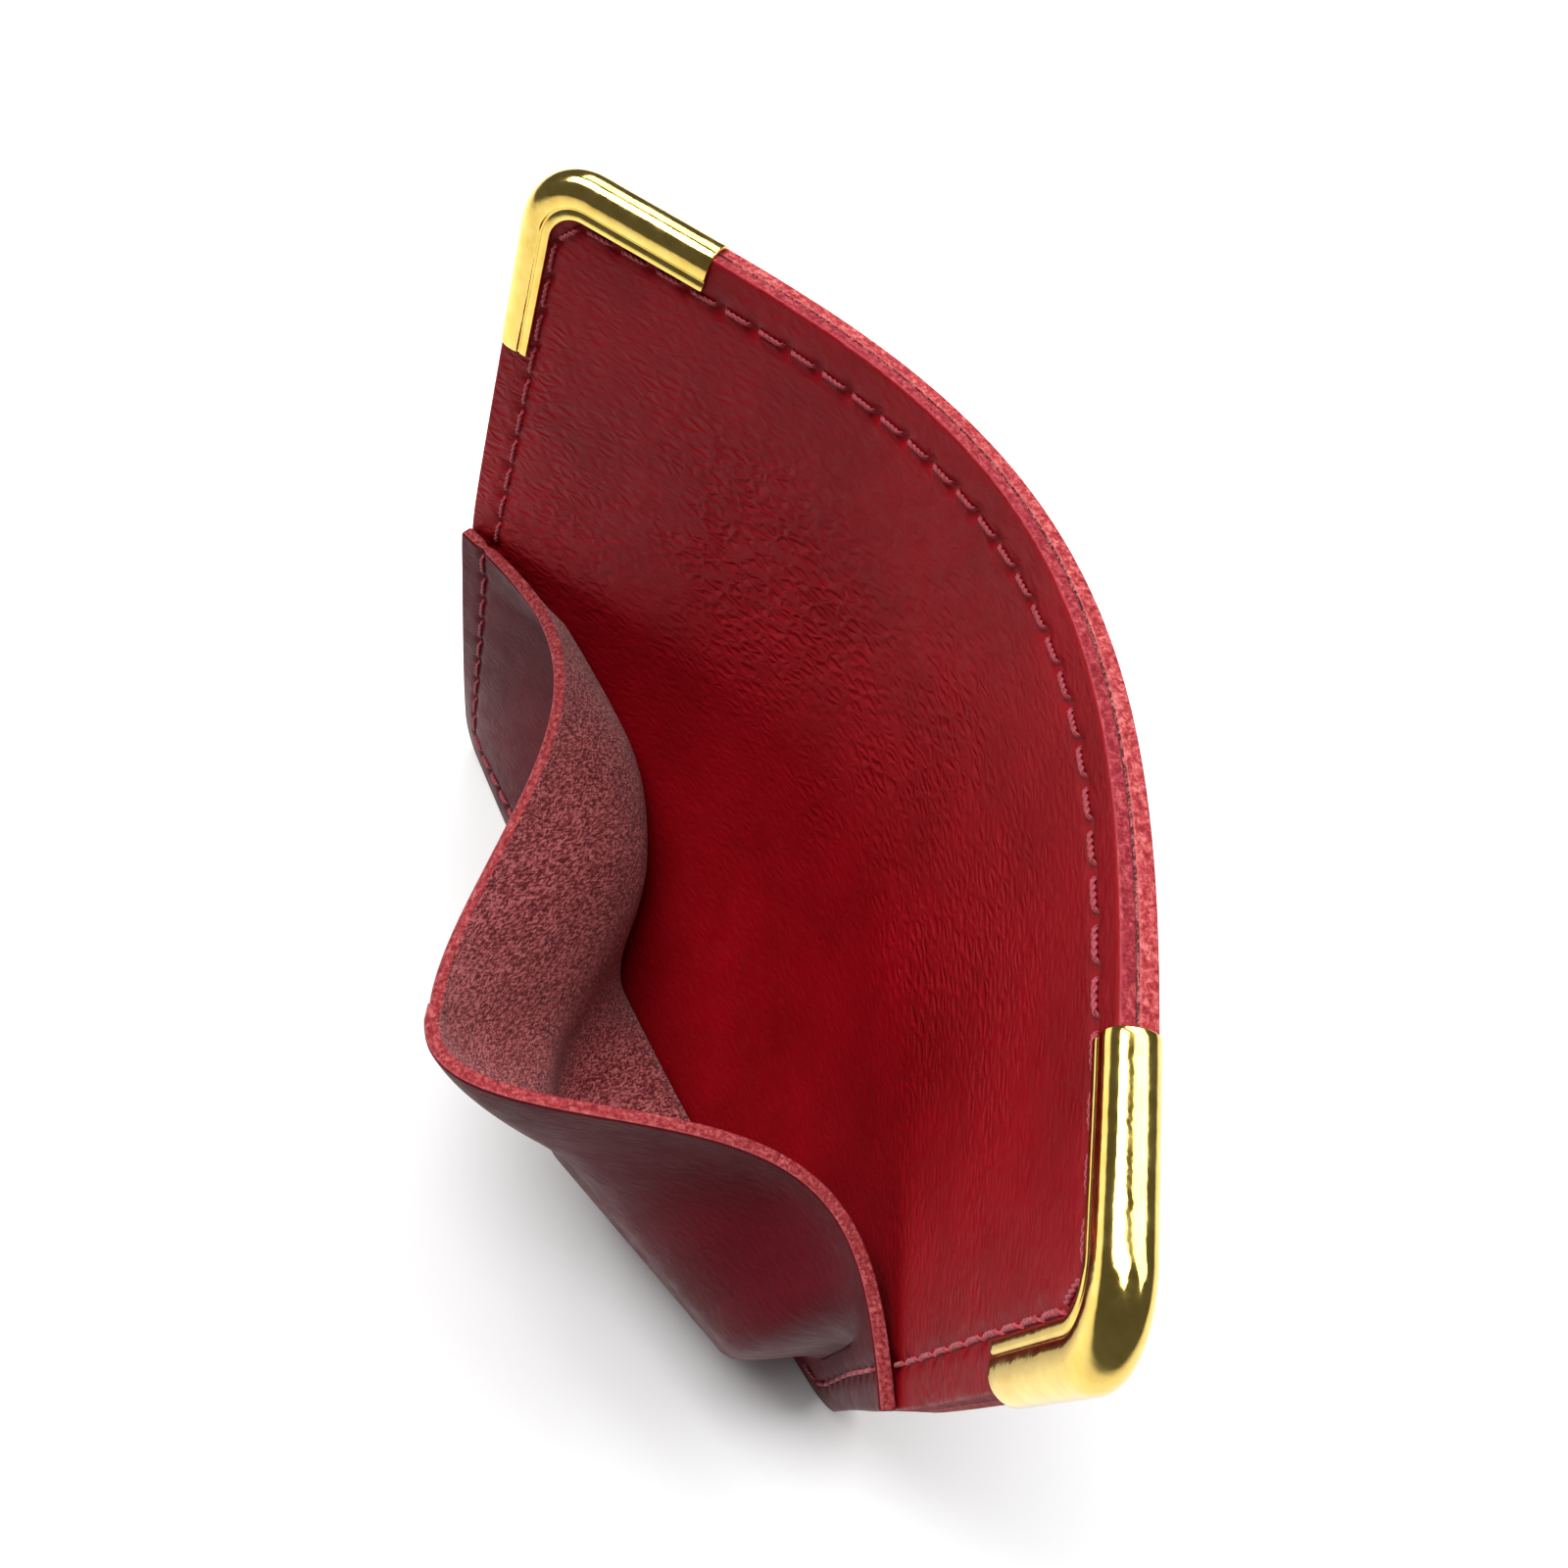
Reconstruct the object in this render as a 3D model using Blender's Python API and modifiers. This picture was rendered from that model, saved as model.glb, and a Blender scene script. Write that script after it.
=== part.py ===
"""Leather coin purse: a bowed back panel that rises into a flap, a pocket panel sewn in front of it,
two metal corner guards on the flap and the thread that holds it together. Metres, +Z up.

The purse stands on its bottom seam. The back panel is bowed backwards, more at the top than at the
bottom. Every piece is laid out on that bowed face in flat coordinates: how far across the panel,
how far up it, and how far behind its inner face.
"""
import math

import bmesh
import bpy
from mathutils import Vector

MM = 0.001

# Back panel and flap, measured on the inner face of the lining.
FOOT_Y = -4.7 * MM                 # the bottom seam's ends stand this far in front of the origin
HALF_CHORD_BOTTOM = 39.0 * MM      # half the straight distance between the side edges
HALF_CHORD_TOP = 43.6 * MM
PANEL_HEIGHT = 66.0 * MM           # bottom edge to free edge, along the leather
POCKET_HEIGHT = 31.5 * MM
BOW_BOTTOM = -2.0 * MM             # how far the middle stands behind the side edges
BOW_TOP = 21.6 * MM
BOW_RISE = 24.5 * MM               # height over which most of the bow develops
BOW_POWER = 1.5
BOW_FULLNESS = 0.3                 # 0 gives a parabola, more gives straighter sides
FLAP_LEAN = 0.165                  # slope of the flap behind the pocket
LEAN_SOFTNESS = 3.0 * MM
TWIST = 0.10                       # the left edge leans back and the right edge forward
TWIST_START = 8.0 * MM
CENTRE_DROP = 2.4 * MM             # a bowed panel is lower in its middle

# Leather.
LINING = 1.0 * MM
OUTER = 1.2 * MM
FRONT = 1.1 * MM
GAP = 0.3 * MM
SANDWICH = LINING + GAP + OUTER
CORNER_RADIUS = 5.0 * MM
FOOT_RADIUS = 4.0 * MM
FOOT_BAND = 0.4 * MM               # the bottom edges' points stay within this of the ground

# Pocket front: its mouth pops forward in the middle, and its right half has a belly below the mouth.
SEAM_MARGIN = 4.5 * MM             # the front lies flat on the back along its sewn border
MOUTH_BULGE = 35.3 * MM
MOUTH_CENTRE = 1.9 * MM
MOUTH_LEFT = 21.1 * MM             # reach of the mouth's bulge to either side of that centre
MOUTH_RIGHT = 17.8 * MM
MOUTH_POWER = 1.87
MOUTH_START = 16.5 * MM            # height at which the belly starts to turn into the mouth
BELLY_X = 3.0 * MM                 # a point of the belly's foremost line, which runs back to the right
BELLY_Y = -18.7 * MM
BELLY_SLOPE = 0.24
BELLY_LEFT = 24.0 * MM             # the belly fades out over this width left of BELLY_X
BELLY_WALL = 5.0 * MM              # and over this width beside the right seam's border
BELLY_RISE = 8.0 * MM              # height over which it comes forward from the bottom seam
HUG_FOOT = 30.0 * MM               # the left half hugs the back below a slanting line to this x
HUG_TOP = 27.0 * MM                # and this height
HUG_NOSE = 5.0 * MM                # rounding of that line's lower end
HUG_CURVE = 1.3
HUG_BLEND = 10.0 * MM               # half width of the change from the left half to the right

# Flap fold.
FOLD_HEIGHT = 33.5 * MM
FOLD_GAP = 0.4 * MM
FOLD_STAND_OFF = 2.6 * MM          # the axis runs this far in front of the side edges

# Metal corner guards.
GUARD_LEG = 15.2 * MM
GUARD_LIP = 2.6 * MM
GUARD_METAL = 0.35 * MM
GUARD_CLEARANCE = 0.2 * MM         # between the leather's edge and the channel's floor
GUARD_ROUND = 0.3 * MM

# Stitching.
THREAD = 0.4 * MM
THREAD_GAP = 0.12 * MM
THREAD_STEP = 3.0 * MM
THREAD_CORNER = 2.0 * MM
CORNER_STEPS = 3
SEAM_INSET = 3.0 * MM

# Fineness of the sheets, and the small steps that slopes are taken over.
BACK_COLUMNS = 32
BACK_ROWS = 9
FRONT_COLUMNS = 64
FRONT_ROWS = 18
STEP_ACROSS = 0.002
STEP_UP = 0.2 * MM

COLLECTION = "coin_purse"


# ---------------------------------------------------------------- the bowed face

def bow_share(height):
    return 1.0 - math.exp(-((max(height, 0.0) / BOW_RISE) ** BOW_POWER))


def half_chord(height):
    return HALF_CHORD_BOTTOM + (HALF_CHORD_TOP - HALF_CHORD_BOTTOM) * height / PANEL_HEIGHT


def bow(height):
    return BOW_BOTTOM + (BOW_TOP - BOW_BOTTOM) * bow_share(height)


def lean(height):
    past = height - POCKET_HEIGHT
    return FLAP_LEAN * 0.5 * (past + math.sqrt(past * past + LEAN_SOFTNESS ** 2))


def twist(height):
    return TWIST * height * abs(height) / (abs(height) + TWIST_START)


def inner_face(across, height):
    """A point on the lining's inner face. across runs from -1 at the left edge to 1 at the right."""
    crown = 1.0 - across * across
    profile = crown * (1.0 - BOW_FULLNESS + BOW_FULLNESS * crown)
    x = across * half_chord(height)
    y = FOOT_Y + bow(height) * profile + lean(height) - lean(0.0) - twist(height) * across
    z = height - CENTRE_DROP * crown * bow_share(height)
    return Vector((x, y, z))


def face_normal(across, height):
    """Unit normal of the inner face, pointing backwards."""
    along = inner_face(across + STEP_ACROSS, height) - inner_face(across - STEP_ACROSS, height)
    up = inner_face(across, height + STEP_UP) - inner_face(across, height - STEP_UP)
    return up.cross(along).normalized()


def behind(across, height, depth):
    """A point that lies depth behind the inner face, or in front of it where depth is negative."""
    return inner_face(across, height) + depth * face_normal(across, height)


def across_per_metre(height):
    """Change of across for each metre along the leather, near a side edge."""
    slope = 2.0 * (1.0 - BOW_FULLNESS) * bow(height) + abs(twist(height))
    return 1.0 / math.hypot(half_chord(height), slope)


def from_edge(side, distance, height):
    """The across value that lies distance in from the left (side -1) or right (side 1) edge."""
    return side * (1.0 - distance * across_per_metre(height))


def round_corner(inset, drop, radius):
    """Moves a point of a square corner onto the corner's arc. inset and drop are from the two edges."""
    if inset >= radius or drop >= radius:
        return inset, drop
    reach = math.hypot(radius - inset, radius - drop)
    if reach <= radius:
        return inset, drop
    share = radius / reach
    return radius - (radius - inset) * share, radius - (radius - drop) * share


def panel_point(across, height):
    """across and height with the panel's four corners rounded."""
    side = 1.0 if across >= 0.0 else -1.0
    scale = across_per_metre(height)
    inset = (1.0 - abs(across)) / scale
    inset, drop = round_corner(inset, PANEL_HEIGHT - height, CORNER_RADIUS)
    height = PANEL_HEIGHT - drop
    inset, rise = round_corner(inset, height, FOOT_RADIUS)
    return side * (1.0 - inset * scale), rise


def smooth_step(value, low, high):
    share = min(max((value - low) / (high - low), 0.0), 1.0)
    return share * share * (3.0 - 2.0 * share)


def mouth_bell(sideways):
    reach = MOUTH_LEFT if sideways < MOUTH_CENTRE else MOUTH_RIGHT
    return math.exp(-(abs(sideways - MOUTH_CENTRE) / reach) ** MOUTH_POWER)


def mouth_forward(across):
    """How far the mouth's edge stands forward of the back panel."""
    chord = half_chord(POCKET_HEIGHT)
    at_edge = mouth_bell(math.copysign(chord, across))
    return MOUTH_BULGE * max(mouth_bell(across * chord) - at_edge, 0.0)


def belly_forward(across, height):
    """How far the belly's foremost line stands forward of the back panel."""
    sideways = across * half_chord(height)
    back_y = inner_face(across, height).y
    line_y = BELLY_Y + BELLY_SLOPE * (sideways - BELLY_X)
    left_fade = smooth_step(sideways, BELLY_X - BELLY_LEFT, BELLY_X)
    inset = half_chord(height) - sideways
    right_fade = smooth_step(inset, SEAM_MARGIN, SEAM_MARGIN + BELLY_WALL)
    return max(back_y - line_y, 0.0) * left_fade * right_fade


def climb_share(sideways, height):
    """0 where the front lies on the back, rising to 1 where it is fully forward."""
    full = math.hypot(HUG_FOOT, HUG_NOSE) - HUG_NOSE
    arm = min((math.hypot(sideways, HUG_NOSE) - HUG_NOSE) / full, 1.0)
    start = SEAM_MARGIN + (HUG_TOP - SEAM_MARGIN) * arm
    hugging = (max(height - start, 0.0) / (POCKET_HEIGHT - start)) ** HUG_CURVE
    rise = min(max((height - SEAM_MARGIN) / BELLY_RISE, 0.0), 1.0)
    bellied = math.sin(0.5 * math.pi * rise)
    right = smooth_step(sideways, -HUG_BLEND, HUG_BLEND)
    return hugging * (1.0 - right) + bellied * right


def bulge(across, height):
    """How far the pocket front stands forward of the back panel."""
    opening = smooth_step(height, MOUTH_START, POCKET_HEIGHT)
    forward = (1.0 - opening) * belly_forward(across, height) + opening * mouth_forward(across)
    return climb_share(across * half_chord(height), height) * forward


def front_point(across, height):
    """A point on the suede face of the pocket front."""
    return behind(across, height, -GAP) + Vector((0.0, -bulge(across, height), 0.0))


# ---------------------------------------------------------------- building helpers

def clear_scene():
    for old in list(bpy.data.objects):
        bpy.data.objects.remove(old, do_unlink=True)


def stand_flat(made):
    """Applies the thickness and puts the foot edge's points level with the ground."""
    graph = bpy.context.evaluated_depsgraph_get()
    solid = bpy.data.meshes.new_from_object(made.evaluated_get(graph))
    for vertex in solid.vertices:
        if vertex.co.z < FOOT_BAND:
            vertex.co.z = 0.0
    made.modifiers.clear()
    made.data = solid


def make_material(name, colour, roughness, metallic=0.0):
    material = bpy.data.materials.new(name)
    material.use_nodes = True
    shader = material.node_tree.nodes["Principled BSDF"]
    shader.inputs["Base Color"].default_value = (*colour, 1.0)
    shader.inputs["Roughness"].default_value = roughness
    shader.inputs["Metallic"].default_value = metallic
    return material


def add_object(name, data, material, parent=None):
    made = bpy.data.objects.new(name, data)
    bpy.data.collections[COLLECTION].objects.link(made)
    data.materials.append(material)
    if parent:
        made.parent = parent
        made.matrix_parent_inverse = parent.matrix_world.inverted()
    return made


def bent_sheet(name, place, columns, rows, thickness, material, parent=None):
    """A sheet whose grid points are put where place(s, t) says, s and t from 0 to 1, then thickened.

    A positive thickness grows backwards from those points, a negative one forwards.
    """
    shape = bmesh.new()
    bmesh.ops.create_grid(shape, x_segments=columns, y_segments=rows, size=0.5)
    for vertex in shape.verts:
        vertex.co = place(vertex.co.x + 0.5, vertex.co.y + 0.5)
    mesh = bpy.data.meshes.new(name)
    shape.to_mesh(mesh)
    shape.free()
    made = add_object(name, mesh, material, parent)
    solidify = made.modifiers.new("thickness", "SOLIDIFY")
    solidify.thickness = abs(thickness)
    solidify.offset = -1.0 if thickness > 0.0 else 1.0
    mesh.shade_smooth()
    return made


# ---------------------------------------------------------------- leather

def back_layer(name, depth, thickness, low, high, material, parent=None):
    """One leather layer between two heights, its front face depth behind the inner face."""
    def place(s, t):
        across, height = panel_point(2.0 * s - 1.0, low + (high - low) * t)
        return behind(across, height, depth)
    return bent_sheet(name, place, BACK_COLUMNS, BACK_ROWS, thickness, material, parent)


def pocket_front(material):
    def place(s, t):
        across, height = panel_point(2.0 * s - 1.0, POCKET_HEIGHT * t)
        return front_point(across, height)
    return bent_sheet("pocket_front", place, FRONT_COLUMNS, FRONT_ROWS, -FRONT, material)


# ---------------------------------------------------------------- metal corner guards

def guard_profile():
    """The channel's inside, as (outward, depth) pairs from the front lip to the back lip."""
    front_depth, back_depth = -GAP, SANDWICH + GAP
    points = [(-GUARD_LIP, front_depth)]
    turn_steps = 3
    for middle, first in ((front_depth + GUARD_ROUND, -90.0), (back_depth - GUARD_ROUND, 0.0)):
        for step in range(turn_steps + 1):
            angle = math.radians(first + 90.0 * step / turn_steps)
            outward = GUARD_CLEARANCE - GUARD_ROUND + GUARD_ROUND * math.cos(angle)
            points.append((outward, middle + GUARD_ROUND * math.sin(angle)))
    points.append((-GUARD_LIP, back_depth))
    return points


def guard_path():
    """Edge stations from the side leg's end, round the corner, to the top leg's end.

    Each is (inset from the side edge, drop from the top edge, outward inset, outward drop).
    """
    stations = []
    leg_steps = 4
    for step in range(leg_steps):
        drop = GUARD_LEG + (CORNER_RADIUS - GUARD_LEG) * step / leg_steps
        stations.append((0.0, drop, -1.0, 0.0))
    corner_steps = 6
    for step in range(corner_steps + 1):
        angle = math.pi / 2.0 * step / corner_steps
        out_side, out_top = -math.cos(angle), -math.sin(angle)
        inset = CORNER_RADIUS * (1.0 + out_side)
        drop = CORNER_RADIUS * (1.0 + out_top)
        stations.append((inset, drop, out_side, out_top))
    for step in range(1, leg_steps + 1):
        inset = CORNER_RADIUS + (GUARD_LEG - CORNER_RADIUS) * step / leg_steps
        stations.append((inset, 0.0, 0.0, -1.0))
    return stations


def corner_guard(name, side, material, parent):
    profile = guard_profile()
    path = guard_path()

    def place(s, t):
        inset, drop, out_inset, out_drop = path[round(s * (len(path) - 1))]
        outward, depth = profile[round(t * (len(profile) - 1))]
        inset += out_inset * outward
        drop += out_drop * outward
        height = PANEL_HEIGHT - drop
        return behind(from_edge(side, inset, height), height, depth)

    # The two guards are mirror images, so their faces wind in opposite senses.
    return bent_sheet(name, place, len(path) - 1, len(profile) - 1, side * GUARD_METAL, material, parent)


# ---------------------------------------------------------------- stitching

def front_outside(across, height, depth):
    """A point that lies depth in front of the pocket front's suede face."""
    along = front_point(across + STEP_ACROSS, height) - front_point(across - STEP_ACROSS, height)
    up = front_point(across, height + STEP_UP) - front_point(across, height - STEP_UP)
    return front_point(across, height) - depth * up.cross(along).normalized()


def seam_route(low, corner_height, corner_inset, corner_radius):
    """(across, height) stations of a U: up or down one side seam, along the level seam, and back.

    low is the height of the two ends, and the level seam runs at corner_height.
    """
    stations = []
    toward = 1.0 if corner_height > low else -1.0
    side_length = abs(corner_height - low) - corner_radius
    side_steps = round(side_length / THREAD_STEP)
    for step in range(side_steps):
        stations.append((corner_inset, low + toward * side_length * step / side_steps))
    for step in range(CORNER_STEPS + 1):
        angle = math.pi / 2.0 * step / CORNER_STEPS
        inset = corner_inset + corner_radius * (1.0 - math.cos(angle))
        height = corner_height - toward * corner_radius * (1.0 - math.sin(angle))
        stations.append((inset, height))
    left = [(from_edge(-1.0, inset, height), height) for inset, height in stations]
    right = [(-across, height) for across, height in reversed(left)]
    level_steps = round(2.0 * abs(left[-1][0]) * half_chord(corner_height) / THREAD_STEP)
    level = []
    for step in range(1, level_steps):
        level.append((left[-1][0] * (1.0 - 2.0 * step / level_steps), corner_height))
    return left + level + right


def thread_line(name, route, face, depth, material, parent=None):
    """One thread of a lock stitch, as a continuous line on one face of the leather."""
    curve = bpy.data.curves.new(name, "CURVE")
    curve.dimensions = "3D"
    curve.bevel_depth = THREAD / 2.0
    curve.bevel_resolution = 1
    curve.use_fill_caps = True
    spline = curve.splines.new("POLY")
    spline.points.add(len(route) - 1)
    for point, (across, height) in zip(spline.points, route):
        point.co = (*face(across, height, depth), 1.0)
    return add_object(name, curve, material, parent)


def all_stitching(thread, flap_axis):
    top = PANEL_HEIGHT - SEAM_INSET
    flap_route = seam_route(FOLD_HEIGHT + THREAD, top, SEAM_INSET, THREAD_CORNER)
    pocket_route = seam_route(POCKET_HEIGHT - THREAD, SEAM_INSET, SEAM_INSET, THREAD_CORNER)
    stand_off = THREAD_GAP + THREAD / 2.0
    thread_line("flap_needle_thread", flap_route, behind, -stand_off, thread, flap_axis)
    thread_line("flap_bobbin_thread", flap_route, behind, SANDWICH + stand_off, thread, flap_axis)
    thread_line("pocket_needle_thread", pocket_route, front_outside, FRONT + GAP + stand_off, thread)
    thread_line("pocket_bobbin_thread", pocket_route, behind, SANDWICH + stand_off, thread)


# ---------------------------------------------------------------- assembly

def fold_axis():
    """An empty on the flap's fold line, which runs from side edge to side edge, just in front of them."""
    left = behind(-1.0, FOLD_HEIGHT, -FOLD_STAND_OFF)
    right = behind(1.0, FOLD_HEIGHT, -FOLD_STAND_OFF)
    axis = bpy.data.objects.new("fold_axis", None)
    axis.location = (left + right) / 2.0
    axis.rotation_euler = (0.0, 0.0, math.atan2(right.y - left.y, right.x - left.x))
    bpy.data.collections[COLLECTION].objects.link(axis)
    bpy.context.view_layer.update()
    return axis


def main():
    clear_scene()
    collection = bpy.data.collections.new(COLLECTION)
    bpy.context.scene.collection.children.link(collection)

    outer_leather = make_material("outer_leather", (0.22, 0.012, 0.022), 0.5)
    lining_leather = make_material("lining_leather", (0.26, 0.010, 0.022), 0.45)
    suede = make_material("front_leather", (0.24, 0.03, 0.04), 0.75)
    gold = make_material("gold_metal", (0.90, 0.66, 0.22), 0.16, metallic=1.0)
    thread = make_material("red_thread", (0.35, 0.02, 0.04), 0.7)

    flap_axis = fold_axis()
    pocket_top = FOLD_HEIGHT - FOLD_GAP / 2.0
    flap_foot = FOLD_HEIGHT + FOLD_GAP / 2.0
    behind_lining = LINING + GAP
    lining = back_layer("back_lining", 0.0, LINING, 0.0, pocket_top, lining_leather)
    outer = back_layer("back_outer", behind_lining, OUTER, 0.0, pocket_top, outer_leather)
    back_layer("flap_lining", 0.0, LINING, flap_foot, PANEL_HEIGHT, lining_leather, flap_axis)
    back_layer("flap_outer", behind_lining, OUTER, flap_foot, PANEL_HEIGHT, outer_leather, flap_axis)
    front = pocket_front(suede)
    for standing in (lining, outer, front):
        stand_flat(standing)
    corner_guard("corner_guard_left", -1.0, gold, flap_axis)
    corner_guard("corner_guard_right", 1.0, gold, flap_axis)
    all_stitching(thread, flap_axis)


main()
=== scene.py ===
"""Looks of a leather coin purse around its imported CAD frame. Metres, +Z up, the same frame as the CAD.

Leather is cut flat and then bent. Every soft piece starts here as a flat pattern: x runs along the
leather from side edge to side edge, y up it, and z back through it. bend_back() and bend_front() carry
that pattern onto the bowed shape that the CAD solids have.
"""
import math

import bmesh
import bpy
import numpy as np
from mathutils import Matrix, Vector


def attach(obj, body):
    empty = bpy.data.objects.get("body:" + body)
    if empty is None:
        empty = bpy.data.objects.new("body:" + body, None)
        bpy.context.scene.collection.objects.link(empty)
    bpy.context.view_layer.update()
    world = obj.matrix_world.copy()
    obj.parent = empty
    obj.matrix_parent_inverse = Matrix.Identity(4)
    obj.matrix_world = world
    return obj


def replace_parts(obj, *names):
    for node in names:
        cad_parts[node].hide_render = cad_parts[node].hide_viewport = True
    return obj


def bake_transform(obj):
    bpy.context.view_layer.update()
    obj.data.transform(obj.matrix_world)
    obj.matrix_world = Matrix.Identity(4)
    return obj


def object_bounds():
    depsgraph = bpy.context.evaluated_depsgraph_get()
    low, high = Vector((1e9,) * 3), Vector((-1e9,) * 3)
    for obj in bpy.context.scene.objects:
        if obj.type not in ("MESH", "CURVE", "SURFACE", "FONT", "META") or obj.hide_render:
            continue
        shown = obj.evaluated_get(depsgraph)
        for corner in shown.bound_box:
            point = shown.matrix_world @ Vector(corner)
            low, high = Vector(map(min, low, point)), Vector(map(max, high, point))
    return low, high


MM = 0.001

# The bowed face, with the CAD's own dimensions.
FOOT_Y = -4.7 * MM
HALF_CHORD_BOTTOM = 39.0 * MM
HALF_CHORD_TOP = 43.6 * MM
PANEL_HEIGHT = 66.0 * MM
POCKET_HEIGHT = 31.5 * MM
BOW_BOTTOM = -2.0 * MM
BOW_TOP = 21.6 * MM
BOW_RISE = 24.5 * MM
BOW_POWER = 1.5
BOW_FULLNESS = 0.3
FLAP_LEAN = 0.165
LEAN_SOFTNESS = 3.0 * MM
TWIST = 0.10
TWIST_START = 8.0 * MM
CENTRE_DROP = 2.4 * MM
SEAM_MARGIN = 4.5 * MM
MOUTH_BULGE = 35.3 * MM
MOUTH_CENTRE = 1.9 * MM
MOUTH_LEFT = 21.1 * MM
MOUTH_RIGHT = 17.8 * MM
MOUTH_POWER = 1.87
MOUTH_START = 16.5 * MM
BELLY_X = 3.0 * MM
BELLY_Y = -18.7 * MM
BELLY_SLOPE = 0.24
BELLY_LEFT = 24.0 * MM
BELLY_WALL = 5.0 * MM
BELLY_RISE = 8.0 * MM
HUG_FOOT = 30.0 * MM
HUG_TOP = 27.0 * MM
HUG_NOSE = 5.0 * MM
HUG_CURVE = 1.3
HUG_BLEND = 10.0 * MM

# Leather layers, as depths behind the lining's inner face.
LINING_BACK = 1.12 * MM
OUTER_FRONT = 1.16 * MM
OUTER_BACK = 2.5 * MM
FRONT_GAP = 0.12 * MM
FRONT_THICKNESS = 1.2 * MM
HALF_FLAT = 49.5 * MM              # half the leather's length along the bow, at the flap's top
CORNER_RADIUS = 5.0 * MM
FOOT_RADIUS = 4.0 * MM
EDGE_ROUND = 0.22 * MM
EDGE_STEPS = 3
EDGE_ANGLE = 50.0                  # degrees, only corners sharper than this are rounded
GRID = 0.42 * MM
STEP_ACROSS = 0.002                # the small steps that slopes are taken over
STEP_UP = 0.2 * MM

# Stitching.
SEAM_INSET = 3.0 * MM
STITCH_PITCH = 3.0 * MM
STITCH_CORNER = 2.0 * MM
STRAND_RADIUS = 0.11 * MM
STRAND_OFFSET = 0.085 * MM
STRAND_TWISTS = 2.6
STITCH_SHARE = 0.80                # of the pitch, the rest is the leather between two holes
GROOVE_DEPTH = 0.13 * MM
GROOVE_WIDTH = 0.55 * MM
HOLE_DEPTH = 0.45 * MM
HOLE_WIDTH = 0.42 * MM
DENT_REACH = 2.0 * MM              # beyond this from a stitch the leather stays flat
STITCH_CORNER_STEPS = 8

# Metal corner guards.
GUARD_LEG = 15.2 * MM
GUARD_LEG_STEPS = 26
GUARD_CORNER_STEPS = 18
GUARD_METAL = 0.38 * MM
GUARD_STAND_OFF = 0.52 * MM        # how far the spine stands out from the leather's edge
GUARD_ARC_STEPS = 18
SPINE_REACH = 1.45 * MM            # length of the spine's round part, outward
PARED = 0.75 * MM                  # the leather's edge is pared back under the guards
PARED_WIDTH = 1.6 * MM             # and over this width in from its edge
PARED_BORDER = 3.0 * MM
PARED_SIDEWAYS = 0.3               # share of the paring on the edge that lies farther off
PARED_THINNED = 0.35
PARED_END = 0.4 * MM               # the paring ends this far inside the guard's leg

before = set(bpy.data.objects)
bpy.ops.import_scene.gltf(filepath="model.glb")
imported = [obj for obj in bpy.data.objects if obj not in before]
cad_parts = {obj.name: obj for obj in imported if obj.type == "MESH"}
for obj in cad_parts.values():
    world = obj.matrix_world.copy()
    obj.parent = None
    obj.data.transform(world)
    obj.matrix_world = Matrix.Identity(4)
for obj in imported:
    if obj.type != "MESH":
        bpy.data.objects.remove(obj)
CAD_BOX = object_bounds()


# ---------------------------------------------------------------- the bowed face

def bow_share(height):
    return 1.0 - np.exp(-((np.maximum(height, 0.0) / BOW_RISE) ** BOW_POWER))


def half_chord(height):
    return HALF_CHORD_BOTTOM + (HALF_CHORD_TOP - HALF_CHORD_BOTTOM) * height / PANEL_HEIGHT


def lean(height):
    past = height - POCKET_HEIGHT
    return FLAP_LEAN * 0.5 * (past + np.sqrt(past * past + LEAN_SOFTNESS ** 2))


def inner_face(across, height):
    """Points on the lining's inner face. across runs from -1 at the left edge to 1 at the right."""
    crown = 1.0 - across * across
    profile = crown * (1.0 - BOW_FULLNESS + BOW_FULLNESS * crown)
    bow = BOW_BOTTOM + (BOW_TOP - BOW_BOTTOM) * bow_share(height)
    twist = TWIST * height * np.abs(height) / (np.abs(height) + TWIST_START)
    x = across * half_chord(height)
    y = FOOT_Y + bow * profile + lean(height) - lean(0.0) - twist * across
    z = height - CENTRE_DROP * crown * bow_share(height)
    return np.stack([x, y, z], axis=-1)


def smooth_step(value, low, high):
    share = np.clip((value - low) / (high - low), 0.0, 1.0)
    return share * share * (3.0 - 2.0 * share)


def mouth_bell(sideways):
    reach = np.where(sideways < MOUTH_CENTRE, MOUTH_LEFT, MOUTH_RIGHT)
    return np.exp(-(np.abs(sideways - MOUTH_CENTRE) / reach) ** MOUTH_POWER)


def mouth_forward(across):
    """How far the mouth's edge stands forward of the back panel."""
    chord = half_chord(POCKET_HEIGHT)
    at_edge = mouth_bell(np.copysign(chord, across))
    return MOUTH_BULGE * np.maximum(mouth_bell(across * chord) - at_edge, 0.0)


def belly_forward(across, height):
    """How far the belly's foremost line stands forward of the back panel."""
    sideways = across * half_chord(height)
    back_y = inner_face(across, height)[..., 1]
    line_y = BELLY_Y + BELLY_SLOPE * (sideways - BELLY_X)
    left_fade = smooth_step(sideways, BELLY_X - BELLY_LEFT, BELLY_X)
    inset = half_chord(height) - sideways
    right_fade = smooth_step(inset, SEAM_MARGIN, SEAM_MARGIN + BELLY_WALL)
    return np.maximum(back_y - line_y, 0.0) * left_fade * right_fade


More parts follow.
